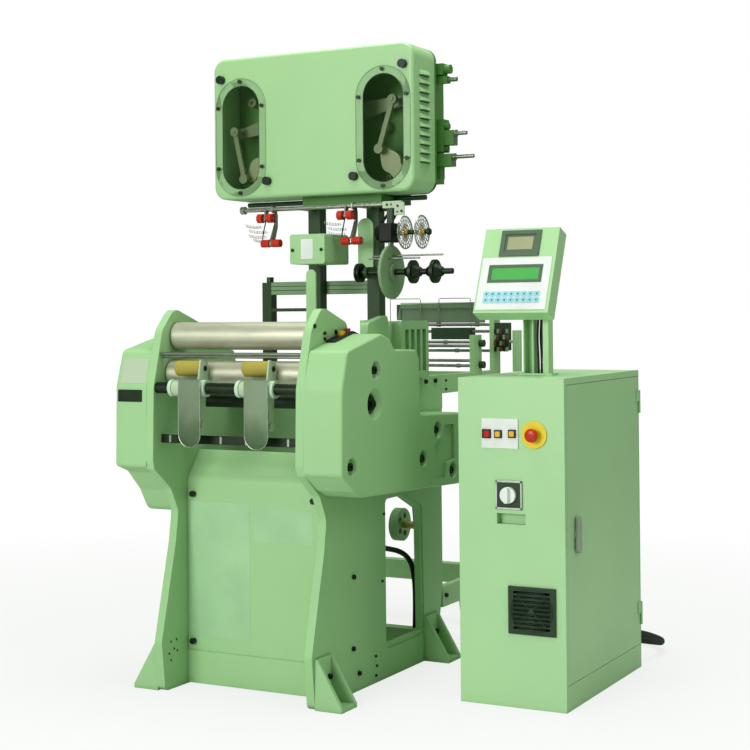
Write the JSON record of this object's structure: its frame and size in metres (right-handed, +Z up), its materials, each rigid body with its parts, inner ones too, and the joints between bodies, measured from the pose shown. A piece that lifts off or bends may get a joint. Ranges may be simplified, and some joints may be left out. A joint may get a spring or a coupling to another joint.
{
  "type": "needle loom",
  "caption": "Narrow-fabric needle loom: floor frame, take-off rollers, tall head box with windowed crank linkages, yarn feed, rear warp guides and a separate control cabinet.",
  "frame": {"origin": "on the floor, at the centre of the rectangle of the four anchor holes in the corner feet", "axes": "+X across the loom toward the control cabinet, +Y from the cloth side to the warp side at the back, +Z up"},
  "size_m": [1.47, 1.55, 2.179],
  "materials": {
    "pale_green": "satin",
    "mid_green": "satin",
    "dark_green": "satin",
    "light_green": "satin",
    "cabinet_green": "satin",
    "grey_hose": "satin",
    "steel": "satin",
    "dark_steel": "satin",
    "knurled_steel": "rough",
    "yellow_plastic": "satin",
    "red_plastic": "gloss",
    "black_plastic": "satin",
    "white_plastic": "satin",
    "clear_glass": "clear",
    "aluminium": "satin",
    "iron": "cast"
  },
  "bodies": {
    "frame": {"bearing_bracket": "light_green", "button_strip": "black_plastic", "cabinet_body": "cabinet_green", "chute_plates": "steel", "conduit": "grey_hose", "corner_feet": "pale_green", "cross_ties": "dark_green", "drive_cover": "mid_green", "feed_bracket": "mid_green", "feed_motor": "black_plastic", "frame_bolts": "dark_steel", "front_panels": "pale_green", "front_plates": "black_plastic", "gear_housing": "mid_green", "guard_plates": "mid_green", "guide_bobbins": "red_plastic", "guide_rods": "steel", "head_casting": "dark_green", "head_cover": "pale_green", "head_posts": "dark_green", "junction_box": "light_green", "panel_box": "cabinet_green", "panel_face": "white_plastic", "panel_knobs": "black_plastic", "panel_posts": "light_green", "press_shaft": "dark_steel", "rear_adjusters": "iron", "rear_frame": "pale_green", "shaft_collars": "white_plastic", "side_frame_left": "pale_green", "side_frame_right": "pale_green", "warp_brackets": "light_green", "warp_panel": "mid_green", "warp_rods": "steel", "window_panes": "clear_glass", "yarn_rail": "steel"},
    "upper_roller": {"takeoff_roller_upper": "knurled_steel"},
    "lower_roller": {"takeoff_roller_lower": "knurled_steel"},
    "cross_shaft": {"cross_shaft": "steel"},
    "arm_left": {"press_arm_left": "steel"},
    "arm_right": {"press_arm_right": "steel"},
    "press_roller_left": {"press_roller_left": "yellow_plastic"},
    "press_roller_right": {"press_roller_right": "yellow_plastic"},
    "crank_left": {"crank_left": "iron"},
    "crank_right": {"crank_right": "iron"},
    "rocker_left": {"rocker_left": "iron"},
    "rocker_right": {"rocker_right": "iron"},
    "rod_left": {"connecting_rod_left": "steel"},
    "rod_right": {"connecting_rod_right": "steel"},
    "feed_wheels": {"feed_wheels": "aluminium"},
    "spool_shaft": {"spool_shaft": "aluminium"},
    "loom_button_yellow": {"loom_button_yellow": "yellow_plastic"},
    "loom_button_red": {"loom_button_red": "red_plastic"},
    "main_pulley": {"main_pulley": "iron"},
    "door": {"cabinet_door": "cabinet_green"},
    "handle": {"door_handle": "black_plastic"},
    "push_button_left": {"push_button_left": "black_plastic"},
    "push_button_right": {"push_button_right": "black_plastic"},
    "emergency_button": {"emergency_button": "red_plastic"},
    "main_switch": {"main_switch": "white_plastic"}
  },
  "joints": [
    {"name": "upper_roller_turn", "type": "hinge", "parent": "frame", "child": "upper_roller", "pos_m": [0, -0.353, 1.178], "axis": [1, 0, 0], "continuous": true},
    {"name": "lower_roller_turn", "type": "hinge", "parent": "frame", "child": "lower_roller", "pos_m": [0, -0.385, 1.0545], "axis": [1, 0, 0], "continuous": true},
    {"name": "cross_shaft_turn", "type": "hinge", "parent": "frame", "child": "cross_shaft", "pos_m": [0, -0.276, 0.958], "axis": [1, 0, 0], "continuous": true},
    {"name": "arm_left_swing", "type": "hinge", "parent": "frame", "child": "arm_left", "pos_m": [-0.148, -0.468, 1.0095], "axis": [1, 0, 0], "range_deg": [0, 25], "stiffness_Nm_per_rad": 6, "springref_deg": -20.05},
    {"name": "arm_right_swing", "type": "hinge", "parent": "frame", "child": "arm_right", "pos_m": [0.114, -0.468, 1.0095], "axis": [1, 0, 0], "range_deg": [0, 25], "stiffness_Nm_per_rad": 6, "springref_deg": -20.05},
    {"name": "press_roller_left_turn", "type": "hinge", "parent": "arm_left", "child": "press_roller_left", "pos_m": [-0.148, -0.4505, 1.074], "axis": [1, 0, 0], "continuous": true},
    {"name": "press_roller_right_turn", "type": "hinge", "parent": "arm_right", "child": "press_roller_right", "pos_m": [0.114, -0.4505, 1.074], "axis": [1, 0, 0], "continuous": true},
    {"name": "crank_left_turn", "type": "hinge", "parent": "frame", "child": "crank_left", "pos_m": [-0.262, 0.16, 1.782], "axis": [0, 1, 0], "continuous": true},
    {"name": "crank_right_turn", "type": "hinge", "parent": "frame", "child": "crank_right", "pos_m": [0.284, 0.16, 1.776], "axis": [0, 1, 0], "continuous": true},
    {"name": "rocker_left_swing", "type": "hinge", "parent": "frame", "child": "rocker_left", "pos_m": [-0.2, 0.186, 1.945], "axis": [0, 1, 0], "range_deg": [-15, 36]},
    {"name": "rocker_right_swing", "type": "hinge", "parent": "frame", "child": "rocker_right", "pos_m": [0.15, 0.186, 1.965], "axis": [0, 1, 0], "range_deg": [-6, 33]},
    {"name": "rod_left_swing", "type": "hinge", "parent": "rocker_left", "child": "rod_left", "pos_m": [-0.345, 0.124, 1.916], "axis": [0, 1, 0], "range_deg": [-36, 15]},
    {"name": "rod_right_swing", "type": "hinge", "parent": "rocker_right", "child": "rod_right", "pos_m": [0.307, 0.124, 1.991], "axis": [0, 1, 0], "range_deg": [-33, 6]},
    {"name": "feed_wheels_turn", "type": "hinge", "parent": "frame", "child": "feed_wheels", "pos_m": [0.4, 0.06, 1.523], "axis": [1, 0, 0], "continuous": true},
    {"name": "spool_shaft_turn", "type": "hinge", "parent": "frame", "child": "spool_shaft", "pos_m": [0.4, 0.05, 1.388], "axis": [1, 0, 0], "continuous": true},
    {"name": "main_pulley_turn", "type": "hinge", "parent": "frame", "child": "main_pulley", "pos_m": [0.2, 0.44, 0.469], "axis": [1, 0, 0], "continuous": true},
    {"name": "loom_button_yellow_press", "type": "slide", "parent": "frame", "child": "loom_button_yellow", "axis": [0, 0, -1], "range_m": [0, 0.003], "stiffness_N_per_m": 400, "springref_m": -0.002},
    {"name": "loom_button_red_press", "type": "slide", "parent": "frame", "child": "loom_button_red", "axis": [0, 0, -1], "range_m": [0, 0.003], "stiffness_N_per_m": 400, "springref_m": -0.002},
    {"name": "door_swing", "type": "hinge", "parent": "frame", "child": "door", "pos_m": [1.03, 0.588, 0.5], "axis": [0, 0, 1], "range_deg": [0, 110]},
    {"name": "handle_turn", "type": "hinge", "parent": "door", "child": "handle", "pos_m": [1.03, -0.035, 0.545], "axis": [1, 0, 0], "range_deg": [0, 90]},
    {"name": "push_button_left_press", "type": "slide", "parent": "frame", "child": "push_button_left", "axis": [0, 1, 0], "range_m": [0, 0.004], "stiffness_N_per_m": 400, "springref_m": -0.002},
    {"name": "push_button_right_press", "type": "slide", "parent": "frame", "child": "push_button_right", "axis": [0, 1, 0], "range_m": [0, 0.004], "stiffness_N_per_m": 400, "springref_m": -0.002},
    {"name": "emergency_button_press", "type": "slide", "parent": "frame", "child": "emergency_button", "axis": [0, 1, 0], "range_m": [0, 0.006]},
    {"name": "main_switch_turn", "type": "hinge", "parent": "frame", "child": "main_switch", "pos_m": [0.838, -0.14, 0.67], "axis": [0, 1, 0], "range_deg": [0, 90]}
  ],
  "couplings": [
    {"joint": "lower_roller_turn", "follows": "upper_roller_turn", "ratio": -1},
    {"joint": "crank_right_turn", "follows": "crank_left_turn", "ratio": 1},
    {"joint": "rod_left_swing", "follows": "rocker_left_swing", "ratio": -1},
    {"joint": "rod_right_swing", "follows": "rocker_right_swing", "ratio": -1}
  ]
}
